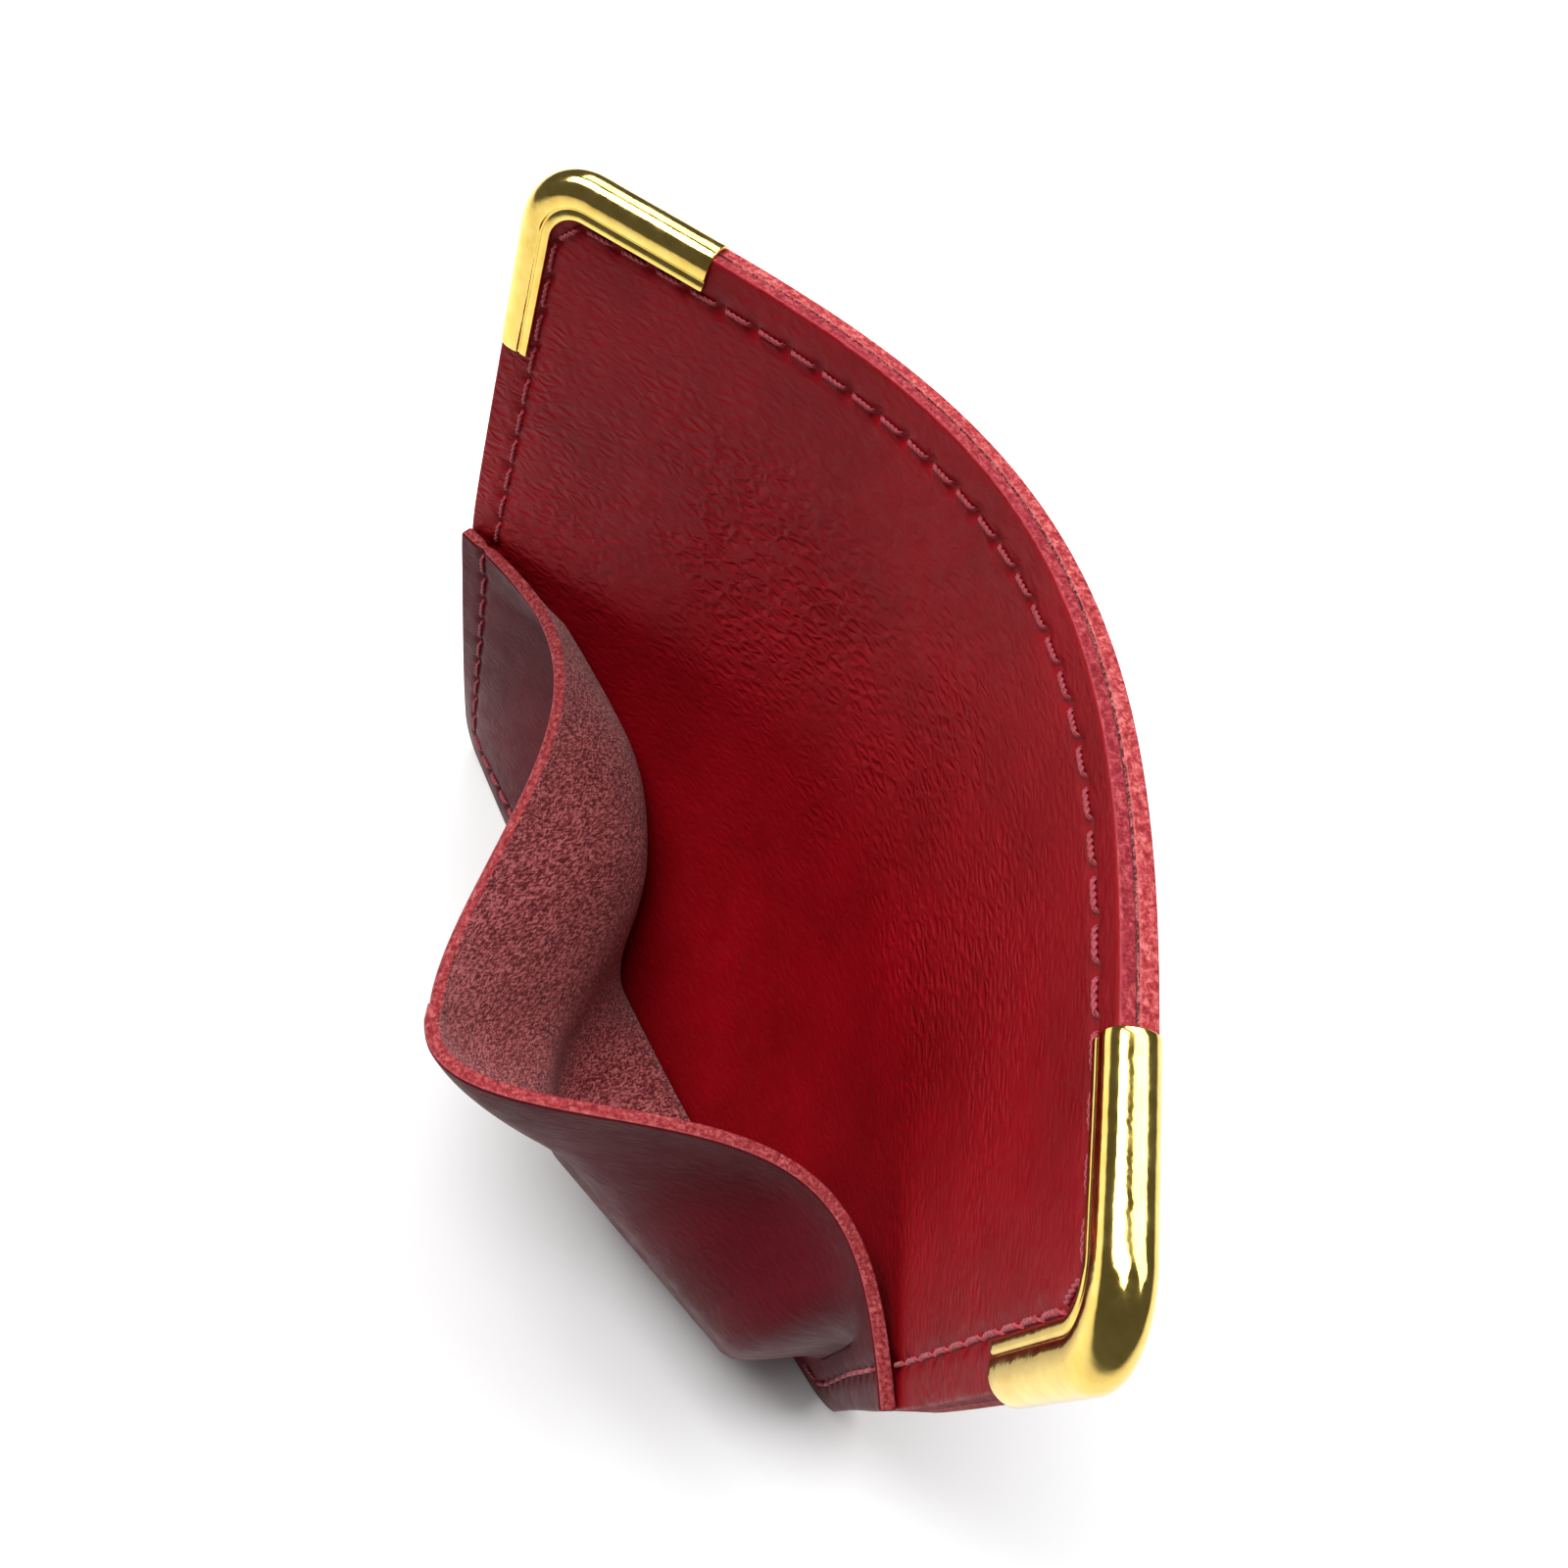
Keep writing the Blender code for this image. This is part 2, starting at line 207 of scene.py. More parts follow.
def climb_share(sideways, height):
    """0 where the front lies on the back, rising to 1 where it is fully forward."""
    full = math.hypot(HUG_FOOT, HUG_NOSE) - HUG_NOSE
    arm = np.minimum((np.hypot(sideways, HUG_NOSE) - HUG_NOSE) / full, 1.0)
    start = SEAM_MARGIN + (HUG_TOP - SEAM_MARGIN) * arm
    hugging = (np.maximum(height - start, 0.0) / (POCKET_HEIGHT - start)) ** HUG_CURVE
    rise = np.clip((height - SEAM_MARGIN) / BELLY_RISE, 0.0, 1.0)
    bellied = np.sin(0.5 * math.pi * rise)
    right = smooth_step(sideways, -HUG_BLEND, HUG_BLEND)
    return hugging * (1.0 - right) + bellied * right


def bulge(across, height):
    """How far the pocket front stands forward of the back panel."""
    opening = smooth_step(height, MOUTH_START, POCKET_HEIGHT)
    forward = (1.0 - opening) * belly_forward(across, height) + opening * mouth_forward(across)
    return climb_share(across * half_chord(height), height) * forward


def backward_normal(face, across, height):
    """Unit normals of a face, pointing backwards."""
    along = face(across + STEP_ACROSS, height) - face(across - STEP_ACROSS, height)
    up = face(across, height + STEP_UP) - face(across, height - STEP_UP)
    normal = np.cross(up, along)
    return normal / np.linalg.norm(normal, axis=-1, keepdims=True)


def front_face(across, height):
    """Points on the suede face of the pocket front."""
    forward = bulge(across, height)
    shift = np.stack([0.0 * forward, -forward, 0.0 * forward], axis=-1)
    return inner_face(across, height) - FRONT_GAP * backward_normal(inner_face, across, height) + shift


def bend(face, flat):
    """Carries flat pattern points onto a bowed face, and keeps them above the ground."""
    across, height, depth = flat[:, 0] / HALF_FLAT, flat[:, 1], flat[:, 2]
    placed = face(across, height) + depth[:, None] * backward_normal(face, across, height)
    placed[:, 2] = np.maximum(placed[:, 2], 0.0)
    return placed


def bend_back(flat):
    return bend(inner_face, flat)


def bend_front(flat):
    """The pocket front: depth 0 is its suede face, and negative depths are its thickness."""
    return bend(front_face, flat)


# ---------------------------------------------------------------- seams

def seam_loop(low, high):
    """Needle holes of the U or ring at SEAM_INSET, as flat (x, y) points one pitch apart."""
    half = HALF_FLAT - SEAM_INSET
    bottom, top = SEAM_INSET, PANEL_HEIGHT - SEAM_INSET
    r = STITCH_CORNER
    ring = []

    def arc(cx, cy, first):
        for step in range(STITCH_CORNER_STEPS + 1):
            angle = first - math.pi / 2.0 * step / STITCH_CORNER_STEPS
            ring.append((cx + r * math.cos(angle), cy + r * math.sin(angle)))
    arc(-half + r, top - r, math.pi)
    arc(half - r, top - r, math.pi / 2.0)
    arc(half - r, bottom + r, 0.0)
    arc(-half + r, bottom + r, -math.pi / 2.0)
    ring.append(ring[0])
    ring = np.array(ring)
    steps = np.linalg.norm(np.diff(ring, axis=0), axis=1)
    along = np.concatenate([[0.0], np.cumsum(steps)])
    count = round(along[-1] / STITCH_PITCH)
    places = np.linspace(0.0, along[-1], count, endpoint=False)
    holes = np.stack([np.interp(places, along, ring[:, 0]), np.interp(places, along, ring[:, 1])], axis=1)
    pairs = [(holes[i], holes[(i + 1) % count]) for i in range(count)]
    return [(a, b) for a, b in pairs if low <= (a[1] + b[1]) / 2.0 <= high]


def seam_dent(x, y, stitches):
    """How deep the leather is pulled in by the thread at flat points."""
    dent = np.zeros(len(x))
    for a, b in stitches:
        near = np.where((x > min(a[0], b[0]) - DENT_REACH) & (x < max(a[0], b[0]) + DENT_REACH)
                        & (y > min(a[1], b[1]) - DENT_REACH) & (y < max(a[1], b[1]) + DENT_REACH))[0]
        if not len(near):
            continue
        point = np.stack([x[near], y[near]], axis=1)
        line = b - a
        share = np.clip(((point - a) @ line) / (line @ line), 0.0, 1.0)
        off = np.linalg.norm(point - (a + share[:, None] * line), axis=1)
        hole = np.minimum(np.linalg.norm(point - a, axis=1), np.linalg.norm(point - b, axis=1))
        pulled = GROOVE_DEPTH * np.exp(-(off / GROOVE_WIDTH) ** 2)
        pulled += HOLE_DEPTH * np.exp(-(hole / HOLE_WIDTH) ** 2)
        dent[near] = np.maximum(dent[near], pulled)
    return dent


# ---------------------------------------------------------------- mesh helpers

def new_object(name, mesh):
    made = bpy.data.objects.new(name, mesh)
    bpy.context.scene.collection.objects.link(made)
    return made


def vertex_places(mesh):
    flat = np.zeros(len(mesh.vertices) * 3)
    mesh.vertices.foreach_get("co", flat)
    return flat.reshape(-1, 3)


def keep_flat_places(mesh, flat):
    """Stores the flat pattern's coordinates, which the leather materials follow."""
    attribute = mesh.attributes.new("flat_place", "FLOAT_VECTOR", "POINT")
    attribute.data.foreach_set("vector", flat.astype(np.float32).ravel())


def apply_modifiers(made):
    graph = bpy.context.evaluated_depsgraph_get()
    solid = bpy.data.meshes.new_from_object(made.evaluated_get(graph))
    made.modifiers.clear()
    made.data = solid
    return solid


def round_corner(inset, drop, radius):
    """Carries the square corner region of a pattern onto a quarter disc."""
    a, b = radius - inset, radius - drop
    inside = (a > 0.0) & (b > 0.0)
    scale = np.where(inside, np.maximum(a, b) / np.maximum(np.hypot(a, b), 1e-9), 1.0)
    return np.where(inside, radius - a * scale, inset), np.where(inside, radius - b * scale, drop)


def pare_under_guards(flat):
    """Draws the leather's edge in and thins it where a metal guard covers it."""
    inset = HALF_FLAT - np.abs(flat[:, 0])
    drop = PANEL_HEIGHT - flat[:, 1]
    far = np.maximum(inset, drop)
    covered = smooth_step(far, GUARD_LEG - PARED_END, GUARD_LEG - PARED_WIDTH)
    a, b = np.maximum(CORNER_RADIUS - inset, 0.0), np.maximum(CORNER_RADIUS - drop, 0.0)
    edge = np.where((a > 0.0) & (b > 0.0), CORNER_RADIUS - np.hypot(a, b), np.minimum(inset, drop))
    near = covered * smooth_step(edge, PARED_WIDTH, 0.0)
    inward = np.sign(flat[:, 0]) * near * PARED * np.where(a >= b, 1.0, PARED_SIDEWAYS)
    flat[:, 0] -= inward * (inset < PARED_BORDER)
    flat[:, 1] -= near * PARED * np.where(b > a, 1.0, PARED_SIDEWAYS) * (drop < PARED_BORDER)
    middle = OUTER_BACK / 2.0
    flat[:, 2] += (middle - flat[:, 2]) * near * PARED_THINNED


def leather_sheet(name, high, depth, thickness, bend_onto, materials, stitches, round_top):
    """A leather layer from the bottom edge up to high, cut flat, rounded at its edges, dented and bent.

    materials are those of its front face, its back face and its cut edge.
    """
    shape = bmesh.new()
    columns = round(2.0 * HALF_FLAT / GRID)
    rows = round(high / GRID)
    bmesh.ops.create_grid(shape, x_segments=columns, y_segments=rows, size=0.5)
    bmesh.ops.reverse_faces(shape, faces=shape.faces)
    mesh = bpy.data.meshes.new(name)
    shape.to_mesh(mesh)
    shape.free()
    grid = vertex_places(mesh)
    x, y = grid[:, 0] * 2.0 * HALF_FLAT, (grid[:, 1] + 0.5) * high
    inset = HALF_FLAT - np.abs(x)
    if round_top:
        inset, drop = round_corner(inset, high - y, CORNER_RADIUS)
        y = high - drop
    inset, y = round_corner(inset, y, FOOT_RADIUS)
    x = np.sign(x) * (HALF_FLAT - inset)
    flat = np.stack([x, y, np.full(len(x), depth)], axis=1)
    mesh.vertices.foreach_set("co", flat.ravel())
    made = new_object(name, mesh)
    for material in materials:
        mesh.materials.append(material)
    solidify = made.modifiers.new("thickness", "SOLIDIFY")
    solidify.thickness = thickness
    solidify.offset = -1.0
    solidify.material_offset = 1
    solidify.material_offset_rim = 2
    bevel = made.modifiers.new("rounded edge", "BEVEL")
    bevel.width = EDGE_ROUND
    bevel.segments = EDGE_STEPS
    bevel.limit_method = "ANGLE"
    bevel.angle_limit = math.radians(EDGE_ANGLE)
    solid = apply_modifiers(made)
    flat = vertex_places(solid)
    dent = seam_dent(flat[:, 0], flat[:, 1], stitches)
    middle = depth + thickness / 2.0
    bent = flat.copy()
    bent[:, 2] += np.where(flat[:, 2] < middle, dent, -dent)
    if round_top:
        pare_under_guards(bent)
    solid.vertices.foreach_set("co", bend_onto(bent).astype(np.float32).ravel())
    keep_flat_places(solid, flat)
    solid.shade_smooth()
    solid.update()
    return made


def add_tube(shape, rings):
    """Adds a closed body through rings of points, capped at both ends."""
    rows = [[shape.verts.new(point) for point in ring] for ring in rings]
    for first, second in zip(rows, rows[1:]):
        for i in range(len(first)):
            j = (i + 1) % len(first)
            shape.faces.new((first[i], first[j], second[j], second[i]))
    shape.faces.new(rows[0][::-1])
    shape.faces.new(rows[-1])


def loft(name, rings):
    """A mesh of one closed body through rings of points."""
    shape = bmesh.new()
    add_tube(shape, rings)
    bmesh.ops.recalc_face_normals(shape, faces=shape.faces)
    mesh = bpy.data.meshes.new(name)
    shape.to_mesh(mesh)
    shape.free()
    return mesh


# ---------------------------------------------------------------- materials

def node(tree, kind, inputs=None, **settings):
    made = tree.nodes.new(kind)
    for key, value in settings.items():
        setattr(made, key, value)
    for key, value in (inputs or {}).items():
        if isinstance(value, bpy.types.NodeSocket):
            tree.links.new(value, made.inputs[key])
        else:
            made.inputs[key].default_value = value
    return made


def new_material(name, roughness, metallic=0.0):
    material = bpy.data.materials.new(name)
    material.use_nodes = True
    shader = material.node_tree.nodes["Principled BSDF"]
    shader.inputs["Roughness"].default_value = roughness
    shader.inputs["Metallic"].default_value = metallic
    return material, material.node_tree, shader


def flat_millimetres(tree, stretch=(1.0, 1.0, 1.0)):
    """The flat pattern's coordinates in millimetres, drawn out along the leather where asked."""
    place = node(tree, "ShaderNodeAttribute", attribute_name="flat_place")
    scale = tuple(1.0 / MM / s for s in stretch)
    return node(tree, "ShaderNodeMapping", {"Vector": place.outputs["Vector"], "Scale": scale}).outputs[0]


def noise(tree, vector, scale, detail=4.0, roughness=0.55, distortion=0.0):
    made = node(tree, "ShaderNodeTexNoise", {"Vector": vector, "Scale": scale, "Detail": detail,
                                             "Roughness": roughness, "Distortion": distortion})
    return made.outputs["Fac"]


def ramp(tree, fac, stops):
    made = node(tree, "ShaderNodeValToRGB", {"Fac": fac})
    elements = made.color_ramp.elements
    while len(elements) < len(stops):
        elements.new(0.5)
    for element, (position, colour) in zip(elements, stops):
        element.position = position
        element.color = (*colour, 1.0)
    return made.outputs["Color"]


def math_node(tree, operation, a, b, clamp=False):
    return node(tree, "ShaderNodeMath", {0: a, 1: b}, operation=operation, use_clamp=clamp).outputs[0]


def map_range(tree, value, low, high, out_low=0.0, out_high=1.0):
    inputs = {"Value": value, "From Min": low, "From Max": high, "To Min": out_low, "To Max": out_high}
    return node(tree, "ShaderNodeMapRange", inputs, interpolation_type="SMOOTHSTEP").outputs[0]


def mix_colour(tree, fac, a, b, blend="MIX"):
    made = node(tree, "ShaderNodeMix", data_type="RGBA", blend_type=blend)
    for index, value in ((0, fac), (6, a), (7, b)):
        if isinstance(value, bpy.types.NodeSocket):
            tree.links.new(value, made.inputs[index])
        elif index:
            made.inputs[index].default_value = (*value, 1.0)
        else:
            made.inputs[index].default_value = value
    return made.outputs[2]


def bump(tree, shader, height, distance, strength=1.0):
    made = node(tree, "ShaderNodeBump", {"Height": height, "Distance": distance, "Strength": strength})
    tree.links.new(made.outputs["Normal"], shader.inputs["Normal"])


def grained_leather(name, light, dark, crease_amount, roughness, sheen):
    """Smooth leather: fine pores, creases drawn out along the panel, stronger where the flap folds, and
    painted shade darkening the creases.
    """
    material, tree, shader = new_material(name, roughness)
    place = flat_millimetres(tree)
    warp = node(tree, "ShaderNodeTexNoise", {"Vector": place, "Scale": 0.35, "Detail": 4.0})
    push = node(tree, "ShaderNodeVectorMath", {0: warp.outputs["Color"], "Scale": 1.3}, operation="SCALE")
    warped = node(tree, "ShaderNodeVectorMath", {0: place, 1: push.outputs[0]}, operation="ADD")
    drawn = node(tree, "ShaderNodeMapping", {"Vector": warped.outputs[0], "Scale": (0.42, 1.0, 1.0)})
    cells = node(tree, "ShaderNodeTexVoronoi", {"Vector": drawn.outputs[0], "Scale": 1.35},
                 feature="DISTANCE_TO_EDGE")
    crease = map_range(tree, cells.outputs["Distance"], 0.0, 0.38)
    height = node(tree, "ShaderNodeSeparateXYZ", {0: place}).outputs["Y"]
    rising = map_range(tree, height, 24.0, 40.0)
    falling = map_range(tree, height, 62.0, 46.0)
    patch = map_range(tree, noise(tree, place, 0.06, 2.0), 0.38, 0.62, 0.25, 1.0)
    zone = math_node(tree, "MULTIPLY", math_node(tree, "MULTIPLY", rising, falling), patch)
    amount = map_range(tree, zone, 0.0, 1.0, 0.25, 1.0)
    creased = math_node(tree, "MULTIPLY", crease, math_node(tree, "MULTIPLY", amount, crease_amount))
    along = node(tree, "ShaderNodeMapping", {"Vector": place, "Scale": (0.5, 1.0, 1.0)})
    pores = noise(tree, along.outputs[0], 3.2, 6.0, 0.65)
    relief = math_node(tree, "ADD", creased, math_node(tree, "MULTIPLY", pores, 0.32))
    bump(tree, shader, relief, 0.15 * MM)
    shade = noise(tree, place, 0.09, 5.0, 0.6)
    colour = ramp(tree, shade, [(0.30, dark), (0.70, light)])
    # Painted shade: inside the creases the colour is darkened toward a darker copy of the dark tone.
    crease_shade = map_range(tree, creased, 0.0, 0.4, 0.14, 0.0)
    colour = mix_colour(tree, crease_shade, colour, tuple(0.55 * c for c in dark))
    tree.links.new(colour, shader.inputs["Base Color"])
    gloss = map_range(tree, noise(tree, place, 0.5, 5.0, 0.6), 0.3, 0.7, roughness - 0.07, roughness + 0.08)
    tree.links.new(gloss, shader.inputs["Roughness"])
    shader.inputs["Specular IOR Level"].default_value = sheen
    return material


def suede(name):
    """Napped flesh side: short fibres that lie in every direction, pale tips over a dark ground."""
    material, tree, shader = new_material(name, 0.95)
    place = flat_millimetres(tree)
    long_fibres = noise(tree, flat_millimetres(tree, (1.6, 0.7, 1.0)), 4.2, 3.0, 0.7, 0.4)
    cross_fibres = noise(tree, flat_millimetres(tree, (0.8, 1.5, 1.0)), 3.8, 3.0, 0.7, 0.5)
    fibres = math_node(tree, "MULTIPLY", math_node(tree, "ADD", long_fibres, cross_fibres), 0.5)
    cloud = noise(tree, place, 0.45, 4.0, 0.6)
    mixed = math_node(tree, "ADD", fibres, math_node(tree, "MULTIPLY", math_node(
        tree, "SUBTRACT", cloud, 0.5), 0.10))
    colour = ramp(tree, mixed, [(0.42, (0.07, 0.003, 0.006)), (0.49, (0.20, 0.020, 0.026)),
                                (0.56, (0.52, 0.15, 0.15))])
    tree.links.new(colour, shader.inputs["Base Color"])
    shader.inputs["Sheen Weight"].default_value = 0.18
    shader.inputs["Sheen Roughness"].default_value = 0.5
    shader.inputs["Specular IOR Level"].default_value = 0.15
    bump(tree, shader, fibres, 0.30 * MM)
    return material


def cut_edge(name, dark, middle, pale, front_depth):
    """A raw cut edge: mottled fibres, with a painted highlight, a pale line along the border next to
    front_depth.
    """
    material, tree, shader = new_material(name, 0.8)
    place = flat_millimetres(tree)
    mottle = noise(tree, place, 2.6, 6.0, 0.72, 0.4)
    colour = ramp(tree, mottle, [(0.37, dark), (0.5, middle), (0.64, pale)])
    depth = node(tree, "ShaderNodeSeparateXYZ", {0: place}).outputs["Z"]
    # Painted highlight: a pale line next to the layer's front border stands in for light caught on the
    # rounded edge.
    line = map_range(tree, depth, front_depth / MM + 0.32, front_depth / MM + 0.05, 0.0, 0.55)
    colour = mix_colour(tree, line, colour, pale)
    tree.links.new(colour, shader.inputs["Base Color"])
    shader.inputs["Specular IOR Level"].default_value = 0.15
    bump(tree, shader, mottle, 0.22 * MM)
    return material


def gold_plate(name):
    """Polished gold-coloured plate with faint unevenness in its polish."""
    material, tree, shader = new_material(name, 0.1, metallic=1.0)
    place = node(tree, "ShaderNodeTexCoord").outputs["Object"]
    millimetres = node(tree, "ShaderNodeMapping", {"Vector": place, "Scale": (1.0 / MM,) * 3}).outputs[0]
    haze = noise(tree, millimetres, 0.8, 5.0, 0.6)
    colour = ramp(tree, haze, [(0.3, (0.76, 0.52, 0.11)), (0.7, (0.90, 0.66, 0.19))])
    tree.links.new(colour, shader.inputs["Base Color"])
    gloss = map_range(tree, haze, 0.3, 0.7, 0.07, 0.16)
    tree.links.new(gloss, shader.inputs["Roughness"])
    bump(tree, shader, noise(tree, millimetres, 0.35, 3.0), 0.05 * MM)
    return material


def thread_fibre(name):
    material, tree, shader = new_material(name, 0.62)
    place = flat_millimetres(tree)
    fuzz = noise(tree, place, 6.0, 5.0, 0.6)
    colour = ramp(tree, fuzz, [(0.3, (0.20, 0.006, 0.014)), (0.7, (0.60, 0.065, 0.095))])
    tree.links.new(colour, shader.inputs["Base Color"])
    shader.inputs["Sheen Weight"].default_value = 0.3
    bump(tree, shader, fuzz, 0.05 * MM)
    return material


def floor_material(name):
    material, tree, shader = new_material(name, 0.9)
    place = node(tree, "ShaderNodeTexCoord").outputs["Object"]
    colour = ramp(tree, noise(tree, place, 6.0, 2.0), [(0.3, (0.88, 0.88, 0.88)), (0.7, (0.91, 0.91, 0.91))])
    tree.links.new(colour, shader.inputs["Base Color"])
    shader.inputs["Specular IOR Level"].default_value = 0.1
    return material


# ---------------------------------------------------------------- pieces

def make_leather():
    lining = grained_leather("lining_leather", (0.34, 0.002, 0.009), (0.22, 0.001, 0.004), 0.8, 0.44, 0.16)
    # Painted shade: the outer faces are the same leather as the lining, given a far darker colour to stand
    # in for the shade on the pocket front's outer face.
    outer = grained_leather("outer_leather", (0.125, 0.004, 0.011), (0.072, 0.001, 0.004), 0.35, 0.44, 0.12)
    napped = suede("suede")
    lining_edge = cut_edge("lining_edge", (0.17, 0.010, 0.020), (0.30, 0.024, 0.036), (0.50, 0.09, 0.10),
                           0.0)
    outer_edge = cut_edge("outer_edge", (0.22, 0.014, 0.020), (0.42, 0.045, 0.052), (0.66, 0.18, 0.17),
                          OUTER_FRONT)
    front_edge = cut_edge("front_edge", (0.17, 0.012, 0.018), (0.31, 0.034, 0.040), (0.50, 0.12, 0.12),
                          -FRONT_THICKNESS)
    ring = seam_loop(0.0, PANEL_HEIGHT)
    low_ring = seam_loop(0.0, POCKET_HEIGHT)

    inner = leather_sheet("lining_sheet", PANEL_HEIGHT, 0.0, LINING_BACK, bend_back,
                          (lining, napped, lining_edge), ring, True)
    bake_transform(inner)
    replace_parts(inner, "back_lining", "flap_lining")

    back = leather_sheet("outer_sheet", PANEL_HEIGHT, OUTER_FRONT, OUTER_BACK - OUTER_FRONT, bend_back,
                         (napped, outer, outer_edge), ring, True)
    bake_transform(back)
    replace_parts(back, "back_outer", "flap_outer")

    front = leather_sheet("pocket_front_sheet", POCKET_HEIGHT, -FRONT_THICKNESS, FRONT_THICKNESS, bend_front,
                          (outer, napped, front_edge), low_ring, False)
    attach(front, "pocket")
    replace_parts(front, "pocket_front")


def strand_rings(a, b, phase, surface, outward):
    """One ply of a stitch between two holes, as flat rings. outward is -1 on the front and 1 behind."""
    line = b - a
    length = np.linalg.norm(line)
    along = line / length
    side = np.array([-along[1], along[0]])
    steps, sides = 15, 6
    rings = []
    for step in range(steps + 1):
        t = step / steps
        spread = 2.0 * t - 1.0
        angle = 2.0 * math.pi * STRAND_TWISTS * t + phase
        middle = (a + b) / 2.0 + along * spread * length / 2.0 * STITCH_SHARE
        rise = 0.10 * MM - 0.50 * MM * abs(spread) ** 7
        centre_side = STRAND_OFFSET * math.cos(angle)
        centre_rise = rise + STRAND_OFFSET * math.sin(angle) - GROOVE_DEPTH * 0.5
        radius = STRAND_RADIUS * (1.0 - 0.3 * abs(spread) ** 7)
        ring = []
        for corner in range(sides):
            turn = 2.0 * math.pi * corner / sides
            across = middle + side * (centre_side + radius * math.cos(turn))
            depth = surface + outward * (centre_rise + radius * math.sin(turn))
            ring.append((across[0], across[1], depth))
        rings.append(ring)
    return rings


def stitches(name, pairs, surface, outward, bend_onto, material):
    """Every stitch of one seam face, each a two-ply thread that dives into its holes."""
    shape = bmesh.new()
    for a, b in pairs:
        for phase in (0.0, math.pi):
            add_tube(shape, strand_rings(a, b, phase, surface, outward))
    mesh = bpy.data.meshes.new(name)
    shape.to_mesh(mesh)
    shape.free()
    flat = vertex_places(mesh)
    mesh.vertices.foreach_set("co", bend_onto(flat).astype(np.float32).ravel())
    shape = bmesh.new()
    shape.from_mesh(mesh)
    bmesh.ops.recalc_face_normals(shape, faces=shape.faces)
    shape.to_mesh(mesh)
    shape.free()
    keep_flat_places(mesh, flat)
    mesh.materials.append(material)
    mesh.shade_smooth()
    made = new_object(name, mesh)
    return made


def make_stitching():
    thread = thread_fibre("red_thread")
    flap = seam_loop(POCKET_HEIGHT, PANEL_HEIGHT)
    pocket = seam_loop(0.0, POCKET_HEIGHT)

    needle = stitches("flap_front_stitches", flap, 0.0, -1.0, bend_back, thread)
    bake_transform(needle)
    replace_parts(needle, "flap_needle_thread")
    bobbin = stitches("flap_back_stitches", flap, OUTER_BACK, 1.0, bend_back, thread)
    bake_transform(bobbin)
    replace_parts(bobbin, "flap_bobbin_thread")
    needle = stitches("pocket_front_stitches", pocket, -FRONT_THICKNESS, -1.0, bend_front, thread)
    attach(needle, "pocket")
    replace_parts(needle, "pocket_needle_thread")
    bobbin = stitches("pocket_back_stitches", pocket, OUTER_BACK, 1.0, bend_back, thread)
    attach(bobbin, "pocket")
    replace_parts(bobbin, "pocket_bobbin_thread")


def spine(depth_reach, out_reach, steps):
    """Half an ellipse round the leather's edge, from the front to the back."""
    middle = OUTER_BACK / 2.0
    start = GUARD_STAND_OFF - SPINE_REACH
    points = []
    for step in range(steps + 1):
        angle = math.pi * step / steps
        points.append((start + out_reach * math.sin(angle), middle - depth_reach * math.cos(angle)))
    return points


def guard_profile():
    """The channel's closed section, as (outward from the edge, depth) pairs."""
    front_lip = [(-2.50, -0.05), (-2.58, -0.14), (-2.57, -0.24), (-2.50, -0.31), (-2.36, -0.33),
                 (-2.02, -0.33), (-1.94, -0.29), (-1.88, -0.22), (-1.78, -0.21), (-1.70, -0.28),
                 (-1.62, -0.36), (-1.50, -0.39), (-1.20, -0.40)]
    outer = OUTER_BACK / 2.0 + 0.40 * MM
    outside = [(out * MM, depth * MM) for out, depth in front_lip]
    outside += spine(outer, SPINE_REACH, GUARD_ARC_STEPS)
    outside += [(out * MM, OUTER_BACK - depth * MM) for out, depth in reversed(front_lip)]
    inside = [(-2.2 * MM, OUTER_BACK + 0.04 * MM)]
    inside += spine(outer - GUARD_METAL, SPINE_REACH - GUARD_METAL, GUARD_ARC_STEPS)[::-1]
    inside.append((-2.2 * MM, -0.04 * MM))
    return outside + inside


def guard_stations():
    """(inset, drop, outward inset, outward drop) along the edge, from the side leg round to the top leg."""
    stations = []
    for step in range(GUARD_LEG_STEPS):
        drop = GUARD_LEG + (CORNER_RADIUS - GUARD_LEG) * step / GUARD_LEG_STEPS
        stations.append((0.0, drop, -1.0, 0.0))
    for step in range(GUARD_CORNER_STEPS + 1):
        angle = math.pi / 2.0 * step / GUARD_CORNER_STEPS
        out_inset, out_drop = -math.cos(angle), -math.sin(angle)
        stations.append((CORNER_RADIUS * (1.0 + out_inset), CORNER_RADIUS * (1.0 + out_drop),
                         out_inset, out_drop))
    for step in range(1, GUARD_LEG_STEPS + 1):
        inset = CORNER_RADIUS + (GUARD_LEG - CORNER_RADIUS) * step / GUARD_LEG_STEPS
        stations.append((inset, 0.0, 0.0, -1.0))
    return stations


def make_guard(name, side, material):
    rings = []
    for inset, drop, out_inset, out_drop in guard_stations():
        flat = []
        for outward, depth in guard_profile():
            x = side * (HALF_FLAT - inset - out_inset * outward)
            y = PANEL_HEIGHT - drop - out_drop * outward
            flat.append((x, y, depth))
        rings.append([Vector(point) for point in bend_back(np.array(flat))])
    made = new_object(name, loft(name, rings))
    made.data.materials.append(material)
    bevel = made.modifiers.new("rounded ends", "BEVEL")
    bevel.width = 0.09 * MM
    bevel.segments = EDGE_STEPS
    bevel.limit_method = "ANGLE"
    bevel.angle_limit = math.radians(65.0)
    solid = apply_modifiers(made)
    solid.shade_smooth()
    solid.set_sharp_from_angle(angle=math.radians(60.0))
    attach(made, "flap")
    return made


def make_guards():
    gold = gold_plate("gold_metal")
    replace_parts(make_guard("guard_left", -1.0, gold), "corner_guard_left")
    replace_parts(make_guard("guard_right", 1.0, gold), "corner_guard_right")


# ---------------------------------------------------------------- stage, light and camera

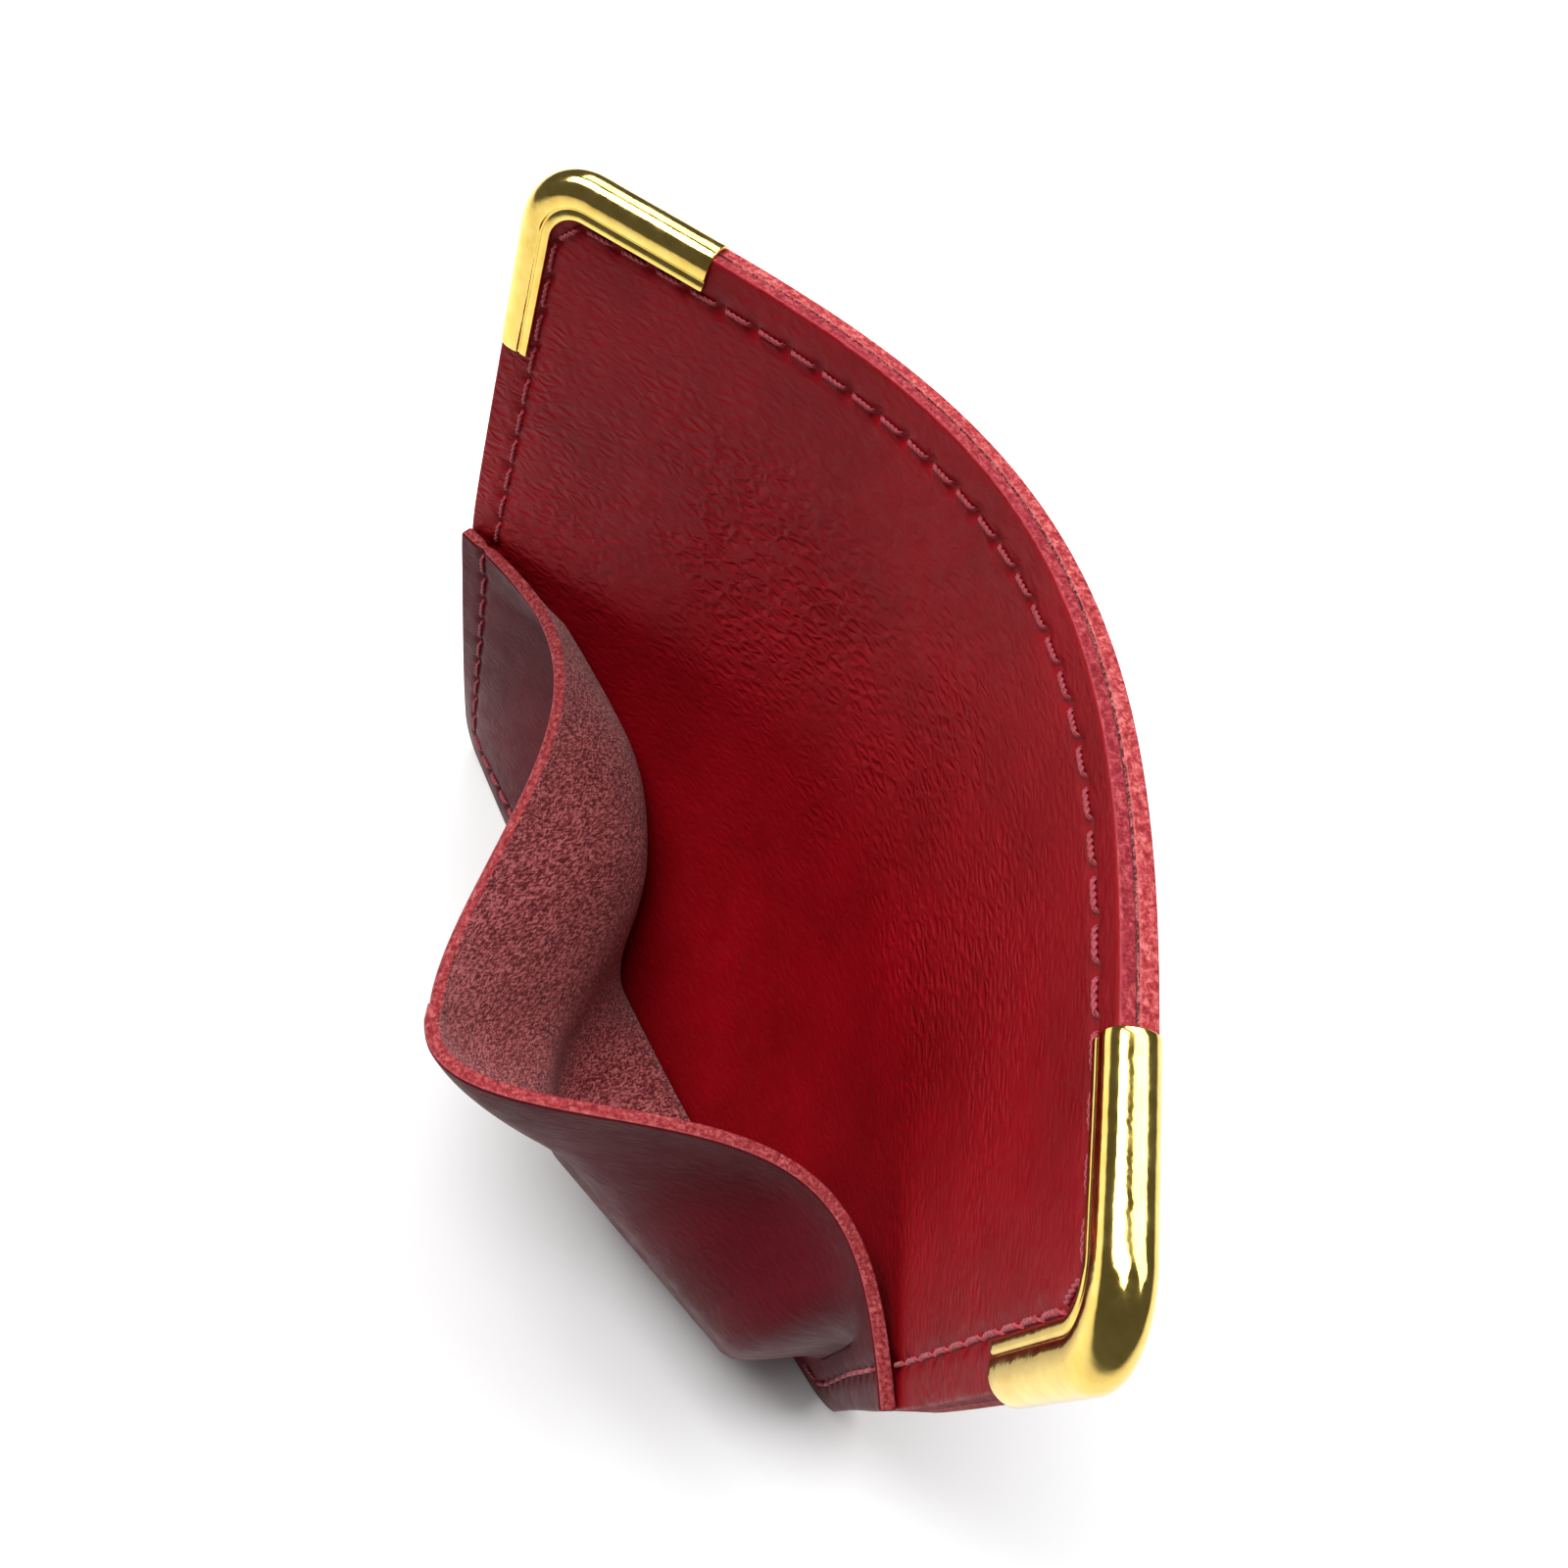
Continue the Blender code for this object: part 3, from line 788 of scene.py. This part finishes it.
def make_stage():
    shape = bmesh.new()
    bmesh.ops.create_grid(shape, x_segments=1, y_segments=1, size=1.5)
    mesh = bpy.data.meshes.new("floor")
    shape.to_mesh(mesh)
    shape.free()
    floor = new_object("floor", mesh)
    floor.location.z = CAD_BOX[0].z - 0.02 * MM
    mesh.materials.append(floor_material("pale_floor"))


def area_light(name, place, target, size, power):
    data = bpy.data.lights.new(name, "AREA")
    data.shape = "RECTANGLE"
    data.size, data.size_y = size
    data.energy = power
    light = bpy.data.objects.new(name, data)
    light.location = place
    light.rotation_euler = (Vector(target) - Vector(place)).to_track_quat("-Z", "Y").to_euler()
    bpy.context.scene.collection.objects.link(light)


def make_light():
    area_light("behind", (-0.10, 0.34, 0.52), (0, 0, 0.03), (1.10, 0.30), 5.2)
    area_light("overhead", (-0.22, -0.08, 0.56), (0, 0, 0.03), (0.25, 0.60), 4.0)
    world = bpy.data.worlds.new("studio")
    bpy.context.scene.world = world
    world.use_nodes = True
    background = world.node_tree.nodes["Background"]
    background.inputs["Color"].default_value = (1.0, 1.0, 1.0, 1.0)
    background.inputs["Strength"].default_value = 0.11


def make_camera():
    """Close by, steeply above and beyond the purse's right-hand end."""
    azimuth, elevation, roll = math.radians(-48.1), math.radians(60.0), math.radians(-13.7)
    aim = Vector((-2.73, 8.61, 36.3)) * MM
    distance = 110.3 * MM
    look = Vector((math.sin(azimuth) * math.cos(elevation), math.cos(azimuth) * math.cos(elevation),
                   -math.sin(elevation)))
    right = look.cross(Vector((0, 0, 1))).normalized()
    up = right.cross(look)
    rolled_right = right * math.cos(roll) - up * math.sin(roll)
    rolled_up = right * math.sin(roll) + up * math.cos(roll)
    data = bpy.data.cameras.new("camera")
    data.sensor_width = 36.0
    data.lens = 31.26
    data.clip_start, data.clip_end = 1.0 * MM, 10.0
    camera = bpy.data.objects.new("camera", data)
    turn = Matrix((rolled_right, rolled_up, -look)).transposed()
    camera.matrix_world = Matrix.Translation(aim - distance * look) @ turn.to_4x4()
    bpy.context.scene.collection.objects.link(camera)
    bpy.context.scene.camera = camera


make_camera()
make_leather()
make_stitching()
make_guards()
make_stage()
make_light()
bpy.context.scene.view_settings.view_transform = "Standard"
